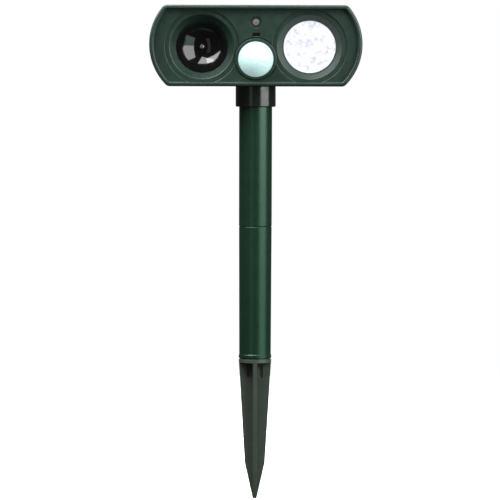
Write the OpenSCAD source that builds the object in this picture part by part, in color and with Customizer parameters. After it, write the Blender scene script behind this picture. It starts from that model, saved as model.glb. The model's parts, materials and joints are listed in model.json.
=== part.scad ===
// Ultrasonic pest repeller: a wide head with a horn, a flash lamp and a motion sensor,
// carried on a two-piece pole that pushes onto a ground spike.
// Frame: the origin is on the pole's axis, where the pole meets the spike. +Z is up and
// the head looks towards -Y. Heights in the head (z arguments) count from its centre.

/* [Head] */
// Width of the head
head_w = 165; // [164:0.5:170]
// Height of the head
head_h = 63; // [63:0.5:65]
// Radius of the rounded left and right ends
end_r = 45; // [43:0.5:46]
// Height of the end arcs' centres above the middle of the head
end_rise = 1.2; // [0:0.1:2]
// Radius of the four corners
corner_r = 5; // [4.6:0.1:6]
// Width of the raised rim around the front panel
rim_w = 3; // [2.4:0.1:3.4]
// Chamfer along the rim's outer edge
rim_chamfer = 1.2; // [0.4:0.1:1.6]
// Chamfer along the rear edge
rear_chamfer = 3; // [1:0.5:3]
// Thickness of the rear shell's wall
wall = 2.4; // [2.2:0.1:2.4]

/* [Front] */
// Distance of the horn and the lamp from the middle
eye_x = 41.7; // [41.5:0.1:42]
// Radius of the horn's and the lamp's openings
eye_r = 20.2; // [20.1:0.1:20.3]
// Radius of the step around each opening
step_r = 29; // [27:0.5:30]
// Radius of the motion sensor's dome
dome_r = 13.6; // [12.5:0.1:13.6]
// Height of the dome above the panel
dome_h = 9.5; // [7:0.5:10]

/* [Pole] */
// Length of each pole section
tube_len = 103.5; // [60:0.5:160]
// Radius of the pole at its middle joint
tube_r = 12.7; // [12.6:0.05:12.7]
// Radius of the spigots that join the sections
spigot_r = 10.4; // [9.5:0.1:10.4]
// Length of the spigots
spigot_len = 18; // [12:1:18]
// Radius of the collar under the head
collar_r = 15.6; // [15.3:0.1:16]
// Height of the collar under the head
collar_len = 16; // [14:0.5:18]

/* [Spike] */
// Length of the spike below the pole
spike_len = 109; // [90:1:140]
// Thickness of the spike's crossed fins
fin_t = 3.2; // [2.4:0.1:4]

/* [Controls] */
// Radius of the two knobs
knob_r = 9.2; // [7:0.1:9.5]
// Width of a knob's finger grip
grip_w = 3; // [2:0.5:5]

/* [Hidden] */
$fn = 96;

eps = 1;         // how far a cutter runs past the face it opens
run_gap = 0.05;  // radial clearance of parts that turn or slide in each other
lay_gap = 0.1;   // clearance of parts that are laid into each other

// Colours
green = [0.06, 0.19, 0.13];
pole_green = [0.05, 0.22, 0.14];
collar_green = [0.04, 0.13, 0.10];
black = [0.03, 0.03, 0.035];
rubber = [0.08, 0.08, 0.08];
milk = [0.85, 0.93, 0.90];
clear = [0.88, 0.93, 1.0];
silver = [0.75, 0.76, 0.78];
board_green = [0.05, 0.30, 0.15];
copper = [0.72, 0.42, 0.22];
cell_blue = [0.06, 0.08, 0.20];
wrap_blue = [0.10, 0.30, 0.60];
lead_red = [0.60, 0.08, 0.06];

// Heights
pole_top = 2 * tube_len;
collar_z = pole_top - 10.5;               // the collar's foot, below the end of the pole
head_bottom = collar_z + collar_len;
head_z = head_bottom + head_h / 2;
half_h = head_h / 2;

// Depths in the head, front to back
rim_y = -28;
panel_y = -24.5;
step_y = -23.5;
panel_back = -21.9;
seam_y = -20;
bore_y = -17.5;
lip_y = -17;
seat_y = -15.5;
flange_y = -14.7;
clip_y = -12.9;
cup_y = -11.5;
rear_y = 28;
back_y = rear_y - wall;

// Head outline
end_x = head_w / 2 - end_r;
corner_z = half_h - corner_r;
end_n = 30;
corner_n = 7;

// Interlocking lip of the bezel inside the rear shell, and the seal in the seam
lip_inset = wall + lay_gap;
lip_t = 1.6;
seal_inset = 0.8;
seal_w = 1;
seal_gap = 0.05;

// Horn and lamp seats
eye_z = -0.9;
funnel_r = 25;
funnel_wall = 1.4;
seat_w = 2.2;
cup_r = 24.7;
cup_wall = 1.7;
flange_r = 24.5;
clip_in = 21;
cap_r = 20.9;

// Motion sensor
dome_z = -10.4;
dome_wall = 0.8;
dome_flange_r = dome_r + 2.6;
dome_flange_t = 1.2;
dome_ring = [dome_r + 0.5, dome_r + 2.4];
dome_ring_h = 1;
groove_w = 0.8;
groove_d = 0.8;
dome_big_r = (pow(dome_r, 2) + pow(dome_h, 2)) / (2 * dome_h);
dome_centre_y = panel_y - dome_h + dome_big_r;
shroud_r = 8;
shroud_t = 1;

// Indicator and light sensor
lamp_dot_z = 18;
dot_r = 2.5;
dot_recess_r = 4.5;
dot_recess_d = 0.8;
window_z = 8.5;
window_size = [6, 2.4];
window_lip = 0.8;

// Circuit board
board_x = 14.5;
board_z = [-24.8, 25];
board_y = -14.9;
board_t = 1.6;
board_back = board_y + board_t;
board_holes = [[-12, 21.5], [12, 21.5], [-12, 8.5], [12, 8.5]];
board_post_r = 2.1;
plug_places = [[-9, 0], [9, 0], [-9, -6], [9, -6]];
plug_size = [6, 5, 4];

// Shell screws
screw_places = [[-62.5, 24], [62.5, 24], [-61.5, -24], [61.5, -24], [-22, -25], [22, -25]];
post_r = 3.6;
well_post_r = 4.4;
post_split_y = -15;
screw_seat_y = -12;
screw_r = 1.25;
screw_head_r = 2.8;
screw_well_r = 3.1;

// Solar panel in the head's top
solar_x = 55;
solar_y = [-15, 24];
solar_floor = half_h - 3.1;
solar_frame = 2;
solar_gap = 0.3;
substrate_t = 1.2;
cell_t = 0.3;
cover_t = 1.2;
cell_columns = 8;
cell_space = 1;

// Battery compartment
cell_r = 9.2;
cell_half = 32.5;
cell_y = 16.2;
holder = [38.5, 11.4];
holder_y = [5.4, 23.2];
pocket_x = [-37, 34.2];
pocket_z = 10;
contact_t = 0.4;
door_x = 45.5;
door_z = 13;
door_y = 26;
door_gap = 0.2;
door_floor_y = 25.4;
door_screw_x = 41.5;
door_post_r = 2.9;

// Knobs and what they turn
knob_x = 59.5;
knob_z = 1;
knob_well_r = knob_r + 1.8;
knob_cup_r = knob_well_r + 2;
well_floor = [19.8, 22];
knob_y = [22.3, 25, 27.4];
shaft_r = 3;
shaft_y = 14.2;
switch_y = 13.3;
oring_r = 0.7;
oring_seat_r = 4.5;
oring_seat_y = 21.3;

// USB port
usb_x = 42;
usb_z = -22;
usb_pocket = [20, 11];
usb_pocket_y = 25.8;
usb_back_y = 22.8;
usb_shell = [9, 3.2];
usb_metal = 0.3;
flap_gap = 0.3;
flap_y = [25.9, 27.9];
anchor_size = [12, 1.6, 1.8];

// Keyhole in the rear wall
key_z = 18;
key_r = 3.5;
key_neck_r = 1.8;
key_neck_z = 22.5;
key_pocket = [6, 14.2, 25];
key_pocket_y = 19;
key_wall = 1.2;

// Leads inside the head: points along each lead, from the part to its plug
lead_r = 0.8;
solar_lead_x = 26;
solar_lead_y = 10;
plug_back = board_back + plug_size.y;
speaker_route = [[-34.7, 3, 14.1], [-34.7, 5.5, 14.1], [-33, 8, 14.2], [-29, 8, 14.2], [-24, 5, 13.8],
    [-20, 1, 12.5], [-16, -2.5, 8.5], [-12, -4.4, 3], [-9.6, -5.4, 0.5], [-9, -6.8, 0], [-9, plug_back, 0]];
lamp_route = [[41.7, 3.6, 8], [41.7, 6, 8], [41.2, 8, 10], [39, 9, 13], [34, 8.5, 14.5], [28, 7, 14.5],
    [22, 3, 13.5], [17, -1.5, 9], [12.5, -4.4, 3], [9.6, -5.4, 0.5], [9, -6.8, 0], [9, plug_back, 0]];
battery_route = [[-38.5, 12, -5], [-39.8, 12, -5], [-41.3, 11.5, -7.4], [-41, 10.5, -11], [-38, 9, -14],
    [-31, 8, -15.5], [-24, 6, -15.8], [-19, 1.5, -15], [-14, -3, -11], [-10.2, -5.2, -7], [-9, -6.8, -6],
    [-9, plug_back, -6]];
solar_route = [[solar_lead_x, solar_lead_y, 28.4], [solar_lead_x, solar_lead_y, 25.5], [25.4, 9, 22.5],
    [23.5, 5.5, 19], [21.5, 0.5, 13.5], [20.5, -3, 8], [18.5, -5, 2.5], [14.5, -6, -3.5], [10.6, -6, -5.6],
    [9, -6.8, -6], [9, plug_back, -6]];

// ---- Helpers: shapes that face the front, between the depths y0 and y1 ----

module plate(y0, y1)
    translate([0, y1, head_z]) rotate([90, 0, 0]) linear_extrude(height = y1 - y0) children();

module disc(x, z, r, y0, y1)
    translate([x, y1, head_z + z]) rotate([90, 0, 0]) cylinder(r = r, h = y1 - y0);

module ring(x, z, r_out, r_in, y0, y1)
    difference() {
        disc(x, z, r_out, y0, y1);
        disc(x, z, r_in, y0 - eps, y1 + eps);
    }

module block(x0, x1, y0, y1, z0, z1)
    translate([x0, y0, head_z + z0]) cube([x1 - x0, y1 - y0, z1 - z0]);

// A profile of [radius, depth] points turned about an axis along Y
module turned(x, z)
    translate([x, 0, head_z + z]) rotate([-90, 0, 0]) rotate_extrude() children();

module tube(r_out, r_in, z0, z1)
    translate([0, 0, z0]) difference() {
        cylinder(r = r_out, h = z1 - z0);
        translate([0, 0, -eps]) cylinder(r = r_in, h = z1 - z0 + 2 * eps);
    }

// Points of an arc; skip leaves out that many points at each end
function arc(cx, cz, r, a0, a1, n, skip = 0) =
    [for (i = [skip : n - skip]) let (a = a0 + (a1 - a0) * i / n) [cx + r * cos(a), cz + r * sin(a)]];

function mirrored(points) =
    [for (i = [len(points) - 1 : -1 : 0]) [-points[i].x, points[i].y]];

// ---- Head outline: round ends blended into flat top and bottom edges ----

function corner_x(z) = end_x + sqrt(pow(end_r - corner_r, 2) - pow(z - end_rise, 2));
function blend_angle(z) = atan2(z - end_rise, corner_x(z) - end_x);

function end_points(inset) = concat(
    arc(corner_x(-corner_z), -corner_z, corner_r - inset, -90, blend_angle(-corner_z), corner_n),
    arc(end_x, end_rise, end_r - inset, blend_angle(-corner_z), blend_angle(corner_z), end_n, 1),
    arc(corner_x(corner_z), corner_z, corner_r - inset, blend_angle(corner_z), 90, corner_n));

module outline(inset = 0) polygon(concat(end_points(inset), mirrored(end_points(inset))));

// ---- A round lead swept along its points ----

function unit(v) = v / norm(v);
function heading(p, i) = unit(p[min(i + 1, len(p) - 1)] - p[max(i - 1, 0)]);
function sideways(p, i) = unit(cross(heading(p, i), [0.3, 0.5, 1]));

module sweep(p, r, sides = 8) {
    points = [for (i = [0 : len(p) - 1]) let (u = sideways(p, i), v = cross(heading(p, i), u))
        for (k = [0 : sides - 1]) p[i] + r * (cos(360 * k / sides) * u + sin(360 * k / sides) * v)];
    last = (len(p) - 1) * sides;
    faces = concat(
        [[for (k = [0 : sides - 1]) k]],
        [for (i = [0 : len(p) - 2]) for (k = [0 : sides - 1]) for (half = [0, 1])
            let (a = i * sides, n = (k + 1) % sides)
            half == 0 ? [a + k, a + sides + k, a + sides + n] : [a + k, a + sides + n, a + n]],
        [[for (k = [sides - 1 : -1 : 0]) last + k]]);
    polyhedron(points = points, faces = faces, convexity = 4);
}

module lead(route) translate([0, 0, head_z]) sweep(route, lead_r);

// ---- Spike and pole ----

module fin() {
    top_half = tube_r - 0.2;
    shoulder = [7.6, -0.743 * spike_len];
    point = [1.7, 1 - spike_len];
    half = [[top_half, -2.5], shoulder, point, [0.9, -spike_len]];
    rotate([90, 0, 0]) translate([0, 0, -fin_t / 2]) linear_extrude(height = fin_t)
        polygon(concat(half, mirrored(half)));
}

module ground_spike() color(pole_green) {
    disc_t = 3;
    pocket = [3, 1.1, 10.8];      // blind moulding pockets beside each fin
    pocket_x = 2.9;
    difference() {
        union() {
            translate([0, 0, -disc_t]) cylinder(r = tube_r - 0.1, h = disc_t);
            for (turn = [0, 90]) rotate([0, 0, turn]) fin();
        }
        for (turn = [0 : 90 : 270], side = [0, 1])
            rotate([0, 0, turn]) mirror([side, 0, 0])
                translate([pocket_x, -fin_t / 2 - eps, -disc_t - 0.6 - pocket.z])
                    cube([pocket.x, pocket.y + eps, pocket.z]);
    }
    tube(spigot_r, spigot_r - 1.8, 0, spigot_len);
}

// One pole section: a socket at the foot and a spigot at the top
module pole_section(z, r_foot, r_top) {
    edge = 0.6;
    bore_r = spigot_r + run_gap;
    neck_r = spigot_r - 1.8;
    web_z = tube_len - 2.5;
    translate([0, 0, z]) difference() {
        union() {
            cylinder(r1 = r_foot, r2 = r_top, h = tube_len - edge);
            translate([0, 0, tube_len - edge]) cylinder(r1 = r_top, r2 = r_top - 0.5, h = edge);
            cylinder(r = spigot_r, h = tube_len + spigot_len);
        }
        translate([0, 0, -eps]) cylinder(r = bore_r, h = web_z + eps);
        cylinder(r = neck_r, h = tube_len + spigot_len + eps);
    }
}

module lower_tube() color(pole_green) {
    foot_r = tube_r - 0.4;
    bead_z = [0.8, 3.2];
    difference() {
        union() {
            pole_section(0, foot_r, tube_r);
            tube(foot_r + 0.35, foot_r - 1, bead_z[0], bead_z[1]);
        }
        tube(foot_r + 2, foot_r - 0.5, -eps, bead_z[0]);
    }
}

module upper_tube() color(pole_green) pole_section(tube_len, tube_r + 0.05, tube_r + 0.15);

// ---- Collar: turns on the pole's top spigot and clamps in the head's bottom ----

boss_r = 12.5;
boss_top = head_bottom + 14;
nut_t = 4;

module socket_collar() color(collar_green) {
    chamfer = 0.6;
    spigot_end = pole_top + spigot_len;
    difference() {
        union() {
            translate([0, 0, collar_z]) cylinder(r1 = collar_r - chamfer, r2 = collar_r, h = chamfer);
            translate([0, 0, collar_z + chamfer]) cylinder(r = collar_r, h = collar_len - chamfer);
            translate([0, 0, head_bottom - 1]) cylinder(r = boss_r, h = boss_top - head_bottom + 1);
        }
        translate([0, 0, collar_z - eps]) cylinder(r = tube_r + 0.35, h = pole_top - collar_z + eps);
        cylinder(r = spigot_r + run_gap, h = spigot_end + 0.5);
        tube(14.5, 13.3, head_bottom - 0.9, head_bottom + eps);
    }
}

module collar_seal() color(rubber) tube(14.45, 13.35, head_bottom - 0.9, head_bottom);

module collar_nut() color(black) {
    slots = 6;
    nut_z = head_bottom + wall;
    difference() {
        tube(15.2, boss_r + lay_gap, nut_z, nut_z + nut_t);
        for (i = [0 : slots - 1]) rotate([0, 0, i * 360 / slots])
            translate([14.3, -1.5, nut_z - eps]) cube([3, 3, nut_t + 2 * eps]);
    }
}

// ---- Head shells ----

module eye_cup(x) {
    turned(x, eye_z) polygon([[eye_r - 2, step_y + 0.5], [funnel_r + funnel_wall, step_y + 0.5],
        [funnel_r + funnel_wall, panel_back], [eye_r + seat_w, seat_y], [eye_r - 2, seat_y]]);
    ring(x, eye_z, cup_r + cup_wall, cup_r, panel_back - 0.5, cup_y);
}

module eye_bore(x)
    turned(x, eye_z) polygon([[0, rim_y], [funnel_r, rim_y], [funnel_r, step_y], [eye_r, bore_y],
        [eye_r, cup_y + eps], [0, cup_y + eps]]);

module bezel_posts() {
    for (p = screw_places) ring(p[0], p[1], post_r, 1.3, panel_back - 0.5, post_split_y);
    for (p = board_holes) ring(p[0], p[1], board_post_r, 0.8, panel_back - 0.5, board_y);
}

module front_bezel() color(green) difference() {
    union() {
        difference() {
            union() {
                hull() {
                    plate(rim_y, rim_y + 0.1) outline(rim_chamfer);
                    plate(rim_y + rim_chamfer, seam_y) outline();
                }
                plate(seam_y - 0.5, lip_y) outline(lip_inset);
            }
            plate(panel_back, lip_y + eps) outline(lip_inset + lip_t);
            plate(rim_y - eps, panel_y) outline(rim_w);
            for (side = [-1, 1]) intersection() {
                plate(rim_y - eps, step_y) outline(rim_w);
                disc(side * eye_x, eye_z, step_r, rim_y - eps, step_y);
            }
        }
        for (side = [-1, 1]) eye_cup(side * eye_x);
        bezel_posts();
        disc(0, dome_z, dome_ring[1], panel_y - dome_ring_h, panel_back);
    }
    for (side = [-1, 1]) eye_bore(side * eye_x);
    ring(0, dome_z, dome_ring[1] + groove_w, dome_ring[1], rim_y, panel_y + groove_d);
    disc(0, dome_z, dome_ring[0], rim_y, panel_y);
    disc(0, dome_z, dome_r + 0.2, rim_y, panel_back + eps);
    disc(0, lamp_dot_z, dot_recess_r, rim_y, panel_y + dot_recess_d);
    disc(0, lamp_dot_z, dot_r + lay_gap, rim_y, panel_back + eps);
    block(-window_size[0] / 2 - lay_gap, window_size[0] / 2 + lay_gap, rim_y, panel_back + eps,
        window_z - window_size[1] / 2 - lay_gap, window_z + window_size[1] / 2 + lay_gap);
}

module shell_posts() {
    for (p = screw_places) {
        disc(p[0], p[1], post_r, post_split_y, cup_y + 1);
        disc(p[0], p[1], well_post_r, cup_y + 0.5, back_y + 0.5);
    }
    for (side = [-1, 1]) ring(side * door_screw_x, 0, door_post_r, 1.35, 16, holder_y[1] + 0.5);
}

module shell_blocks() {
    block(-solar_x - solar_frame, solar_x + solar_frame, solar_y[0] - 1.8, back_y,
        solar_floor - solar_frame, half_h - 1.5);
    block(-door_x - 2, door_x + 2, holder_y[1], back_y + 0.5, -door_z - 2, door_z + 2);
    for (side = [-1, 1]) disc(side * knob_x, knob_z, knob_cup_r, well_floor[0], back_y + 0.5);
    block(usb_x - usb_pocket[0] / 2 - 1.5, usb_x + usb_pocket[0] / 2 + 1.5, usb_back_y, back_y + 0.5,
        wall / 2 - half_h, usb_z + usb_pocket[1] / 2 + 1.5);
    block(-key_pocket[0] - key_wall, key_pocket[0] + key_wall, key_pocket_y - key_wall, back_y + 0.5,
        key_pocket[1] - key_wall, key_pocket[2] + key_wall);
    for (side = [-1, 1]) block(usb_x + side * 4.5 - 0.75, usb_x + side * 4.5 + 0.75, 10, 21,
        wall / 2 - half_h, usb_z - usb_shell[1] / 2 - 1.2);
}

module knob_well(x) {
    disc(x, knob_z, knob_well_r, well_floor[1], rear_y + eps);
    disc(x, knob_z, shaft_r + 0.15, well_floor[0] - eps, rear_y);
    disc(x, knob_z, oring_seat_r, well_floor[0] - eps, oring_seat_y);
}

module usb_opening() {
    block(usb_x - usb_pocket[0] / 2, usb_x + usb_pocket[0] / 2, usb_pocket_y, rear_y + eps,
        usb_z - usb_pocket[1] / 2, usb_z + usb_pocket[1] / 2);
    block(usb_x - 5.5, usb_x + 5.5, usb_back_y - eps, usb_pocket_y + eps, usb_z - 2.7, usb_z + 2.7);
    block(usb_x - anchor_size.x / 2, usb_x + anchor_size.x / 2, rear_y - anchor_size.y, rear_y + eps,
        usb_z + usb_pocket[1] / 2, usb_z + usb_pocket[1] / 2 + anchor_size.z);
}

module keyhole() {
    disc(0, key_z, key_r, back_y - eps, rear_y + eps);
    block(-key_neck_r, key_neck_r, back_y - eps, rear_y + eps, key_z, key_neck_z);
    disc(0, key_neck_z, key_neck_r, back_y - eps, rear_y + eps);
    block(-key_pocket[0], key_pocket[0], key_pocket_y, back_y, key_pocket[1], key_pocket[2]);
}

module rear_shell() color(green) difference() {
    union() {
        difference() {
            hull() {
                plate(seam_y, rear_y - rear_chamfer) outline();
                plate(rear_y - 0.1, rear_y) outline(rear_chamfer);
            }
            plate(seam_y - eps, back_y) outline(wall);
        }
        shell_posts();
        shell_blocks();
    }
    difference() {
        plate(seam_y - eps, seam_y + seal_w) outline(seal_inset);
        plate(seam_y - 2 * eps, seam_y + seal_w + eps) outline(seal_inset + seal_w);
    }
    for (p = screw_places) {
        disc(p[0], p[1], 1.6, post_split_y - eps, rear_y);
        disc(p[0], p[1], screw_well_r, screw_seat_y, rear_y + eps);
    }
    block(-solar_x, solar_x, solar_y[0], solar_y[1], solar_floor, half_h + eps);
    translate([solar_lead_x, solar_lead_y, head_z + solar_floor - solar_frame - eps])
        cylinder(r = lead_r + 0.3, h = solar_frame + 2 * eps);
    block(-door_x, door_x, door_floor_y, rear_y + eps, -door_z, door_z);
    block(pocket_x[0], -pocket_x[0], holder_y[1] - eps, rear_y, -pocket_z - 0.4, pocket_z + 0.4);
    for (side = [-1, 1]) {
        disc(side * door_screw_x, 0, 1.35, holder_y[1] - eps, rear_y);
        knob_well(side * knob_x);
    }
    usb_opening();
    keyhole();
    translate([0, 0, head_bottom - eps]) cylinder(r = boss_r + lay_gap, h = wall + 2 * eps);
}

module shell_seal() color(rubber) plate(seam_y, seam_y + seal_w) difference() {
    outline(seal_inset + seal_gap);
    outline(seal_inset + seal_w - seal_gap);
}

module shell_screws() color(silver) for (p = screw_places) difference() {
    union() {
        disc(p[0], p[1], screw_r, seam_y - 1, screw_seat_y + 0.5);
        disc(p[0], p[1], screw_head_r, screw_seat_y, screw_seat_y + 2);
    }
    for (turn = [0, 90]) translate([p[0], screw_seat_y + 1.2, head_z + p[1]]) rotate([0, turn, 0])
        translate([-1.6, 0, -0.35]) cube([3.2, 2, 0.7]);
}

// ---- Horn, left of the middle ----

horn_floor_y = -5.2;
horn_flat_r = 3;
horn_t = 1.2;
horn_n = 16;
function horn_y(r) =
    horn_floor_y - (horn_floor_y - flange_y) * pow((r - horn_flat_r) / (eye_r - horn_flat_r), 1.5);
horn_radii = [for (i = [0 : horn_n]) horn_flat_r + (eye_r - horn_flat_r) * i / horn_n];

module speaker_seal() color(rubber)
    ring(-eye_x, eye_z, eye_r + seat_w, eye_r + 0.2, seat_y, flange_y);

module speaker_horn() color(black) turned(-eye_x, eye_z) polygon(concat(
    [[0, horn_floor_y]],
    [for (r = horn_radii) [r, horn_y(r)]],
    [[flange_r, flange_y], [flange_r, clip_y], [eye_r - 0.5, clip_y]],
    [for (i = [horn_n - 1 : -1 : 0]) [horn_radii[i], horn_y(horn_radii[i]) + horn_t]],
    [[0, horn_floor_y + horn_t]]));

module speaker_hub() color(silver)
    turned(-eye_x, eye_z) polygon([[0, horn_floor_y - 4], [1.2, horn_floor_y - 3.8],
        [2, horn_floor_y - 3], [2.2, horn_floor_y], [0, horn_floor_y]]);

module piezo_driver() color(copper) {
    disc(-eye_x, eye_z, 12, horn_floor_y + horn_t, horn_floor_y + horn_t + 0.4);
    disc(-eye_x, eye_z, 8, horn_floor_y + horn_t, horn_floor_y + horn_t + 0.8);
}

module speaker_back_cap() color(black) difference() {
    disc(-eye_x, eye_z, cap_r, clip_y, 3);
    disc(-eye_x, eye_z, cap_r - 1.1, clip_y - eps, 1.6);
}

module eye_retainer(x) difference() {
    ring(x, eye_z, cup_r - lay_gap, clip_in, clip_y, cup_y);
    for (turn = [45 : 90 : 315]) translate([x, clip_y - eps, head_z + eye_z]) rotate([0, turn, 0])
        translate([cup_r - 1.6, 0, -1]) cube([3, 4, 2]);
}

module speaker_retainer() color(black) eye_retainer(-eye_x);

// ---- Lamp, right of the middle ----

dish_y = 1;
dish_r = [4.5, 19.8];
dish_n = 14;
dish_t = 1.2;
function dish_depth(r) = dish_y
    - (dish_y - clip_y) * (pow(r, 2) - pow(dish_r[0], 2)) / (pow(dish_r[1], 2) - pow(dish_r[0], 2));
dish_radii = [for (i = [0 : dish_n]) dish_r[0] + (dish_r[1] - dish_r[0]) * i / dish_n];

module lamp_seal() color(rubber)
    ring(eye_x, eye_z, eye_r + seat_w, eye_r + 0.2, seat_y, flange_y);

module lamp_lens() color(clear) turned(eye_x, eye_z) polygon([[0, -20.2], [7, -20], [14, -19.6],
    [eye_r - 0.8, -19], [eye_r - 0.2, -18.4], [eye_r - 0.2, flange_y], [flange_r, flange_y],
    [flange_r, clip_y], [0, clip_y]]);

module lamp_retainer() color(black) eye_retainer(eye_x);

module lamp_reflector() color(silver) turned(eye_x, eye_z) polygon(concat(
    [for (r = dish_radii) [r, dish_depth(r)]],
    [[cap_r - 0.1, clip_y], [cap_r - 0.1, clip_y + 1], [dish_r[1] - 0.2, clip_y + 1]],
    [for (i = [dish_n - 1 : -1 : 0]) [dish_radii[i], dish_depth(dish_radii[i]) + dish_t]]));

module lamp_led() color(milk) {
    disc(eye_x, eye_z, 3.5, 1, dish_y + dish_t);
    turned(eye_x, eye_z) polygon([[0, -1], [1.3, -0.7], [2.2, 0], [2.6, 1], [0, 1]]);
}

module lamp_board() color(board_green)
    disc(eye_x, eye_z, 12, dish_y + dish_t, dish_y + dish_t + 1.4);

// ---- Motion sensor in the middle ----

module sensor_dome() color(milk) {
    dome_a = acos(dome_r / dome_big_r);
    inner_r = dome_r - dome_wall;
    inner_big = dome_big_r - dome_wall;
    inner_a = acos(inner_r / inner_big);
    back = panel_back + dome_flange_t;
    turned(0, dome_z) polygon(concat(
        arc(0, dome_centre_y, dome_big_r, -90, -dome_a, 14),
        [[dome_r, panel_back], [dome_flange_r, panel_back], [dome_flange_r, back], [inner_r, back]],
        arc(0, dome_centre_y, inner_big, -inner_a, -90, 14)));
}

module sensor_shroud() color(black) {
    front = panel_back + dome_flange_t;
    turned(0, dome_z) polygon([[dome_flange_r, front], [dome_flange_r, front + 0.6],
        [shroud_r, board_y], [shroud_r - shroud_t, board_y], [dome_flange_r - 1.6, front]]);
}

module motion_sensor() color(silver) difference() {
    union() {
        disc(0, dome_z, 4.6, board_y - 4.5, board_y);
        disc(0, dome_z, 5, board_y - 0.6, board_y);
    }
    block(-1.9, 1.9, board_y - 5, board_y - 4.2, dome_z - 1.5, dome_z + 1.5);
}

// ---- Indicator and light sensor above it ----

module indicator_lens() color(milk) {
    disc(0, lamp_dot_z, dot_r, panel_y - 0.4, board_y - 3.1);
    disc(0, lamp_dot_z, dot_r + 0.9, panel_back, panel_back + 0.8);
}

module indicator_led() color(milk) {
    disc(0, lamp_dot_z, 1.5, board_y - 2.9, board_y);
    disc(0, lamp_dot_z, 1.8, board_y - 0.6, board_y);
}

module light_window() color(clear) {
    half = window_size / 2;
    block(-half[0], half[0], panel_y + 0.2, panel_back, window_z - half[1], window_z + half[1]);
    block(-half[0] - window_lip, half[0] + window_lip, panel_back, panel_back + 0.8,
        window_z - half[1] - window_lip, window_z + half[1] + window_lip);
}

module light_sensor() color(copper) disc(0, window_z, 2.5, board_y - 2, board_y);

// ---- Circuit board ----

module main_board() color(board_green) difference() {
    block(-board_x, board_x, board_y, board_back, board_z[0], board_z[1]);
    for (p = board_holes) disc(p[0], p[1], 0.9, board_y - eps, board_back + eps);
}

module board_screws() color(silver) for (p = board_holes) {
    disc(p[0], p[1], 0.75, board_y - 4, board_back);
    disc(p[0], p[1], 1.6, board_back, board_back + 1.2);
}

module board_chips() color(black) {
    block(-5, 5, board_back, board_back + 1.8, -1, 5);
    block(-2.5, 2.5, board_back, board_back + 1.5, -8, -4);
}

module drive_coil() color(copper) {
    for (end = [0, 7]) disc(-7, 14, 5, board_back + end, board_back + end + 1);
    disc(-7, 14, 4.2, board_back + 0.5, board_back + 7.5);
}

module board_capacitors() color(wrap_blue) for (p = [[2, 17], [8, 14.8]]) {
    disc(p[0], p[1], 3.15, board_back, board_back + 8.6);
    disc(p[0], p[1], 2.6, board_back + 8, board_back + 9);
}

module board_connectors() color(milk) for (p = plug_places)
    block(p[0] - plug_size.x / 2, p[0] + plug_size.x / 2, board_back, plug_back,
        p[1] - plug_size.z / 2, p[1] + plug_size.z / 2);

// ---- Solar panel ----

cells_z = solar_floor + substrate_t;
cover_z = cells_z + cell_t;

module solar_panel() color(black) block(-solar_x + solar_gap, solar_x - solar_gap,
    solar_y[0] + solar_gap, solar_y[1] - solar_gap, solar_floor, cells_z);

module solar_cells() color(cell_blue) {
    pitch = (2 * solar_x - 2 * solar_gap - cell_space) / cell_columns;
    for (i = [0 : cell_columns - 1]) let (x = -solar_x + solar_gap + cell_space + i * pitch)
        block(x, x + pitch - cell_space, solar_y[0] + 2, solar_y[1] - 2, cells_z, cover_z);
}

module solar_cover() color(clear) block(-solar_x + solar_gap, solar_x - solar_gap,
    solar_y[0] + solar_gap, solar_y[1] - solar_gap, cover_z, cover_z + cover_t);

// ---- Battery and its compartment ----

module along_x(r, x0, x1)
    translate([x0, cell_y, head_z]) rotate([0, 90, 0]) cylinder(r = r, h = x1 - x0);

module battery_cell() color(wrap_blue) {
    along_x(cell_r, -cell_half, cell_half);
    along_x(3, cell_half - 0.5, pocket_x[1] - contact_t);
}

module battery_holder() color(black) difference() {
    block(-holder[0], holder[0], holder_y[0], holder_y[1], -holder[1], holder[1]);
    block(pocket_x[0], pocket_x[1], holder_y[0] + 1.4, holder_y[1] + eps, -pocket_z, pocket_z);
}

module battery_spring() color(silver) {
    wire_r = 0.45;
    turns = 3;
    steps = 14;
    r = [6.5, 4];
    x0 = pocket_x[0] + contact_t + wire_r;
    x1 = -cell_half - wire_r;
    n = turns * steps;
    translate([0, cell_y, head_z]) sweep([for (i = [0 : n]) let (t = i / n, a = 360 * turns * t)
        [x0 + (x1 - x0) * t, (r[0] + (r[1] - r[0]) * t) * cos(a), (r[0] + (r[1] - r[0]) * t) * sin(a)]],
        wire_r);
}

module battery_contacts() color(silver) for (x = [pocket_x[0], pocket_x[1] - contact_t])
    block(x, x + contact_t, cell_y - 7.4, cell_y + 6, -7, 7);

module battery_door() color(green) difference() {
    union() {
        block(-door_x + door_gap, door_x - door_gap, door_y, rear_y, -door_z + door_gap, door_z - door_gap);
        for (side = [-1, 1]) disc(side * door_screw_x, 0, 3.4, door_floor_y + 0.02, door_y + 0.2);
    }
    for (side = [-1, 1]) {
        disc(side * door_screw_x, 0, 1.4, door_floor_y - eps, rear_y + eps);
        disc(side * door_screw_x, 0, screw_head_r, door_y + 0.4, rear_y + eps);
    }
}

module door_seal() color(rubber) difference() {
    block(-38, 38, door_floor_y, door_y, -11.8, 11.8);
    block(-37.2, 37.2, door_floor_y - eps, door_y + eps, -10.5, 10.5);
}

module door_screws() color(silver) for (side = [-1, 1]) difference() {
    union() {
        disc(side * door_screw_x, 0, screw_r, 17, door_y + 1);
        disc(side * door_screw_x, 0, screw_head_r - 0.1, door_y + 0.4, rear_y - 0.1);
    }
    for (turn = [0, 90]) translate([side * door_screw_x, rear_y - 0.9, head_z]) rotate([0, turn, 0])
        translate([-1.6, 0, -0.35]) cube([3.2, 2, 0.7]);
}

// ---- Knobs ----

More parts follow.
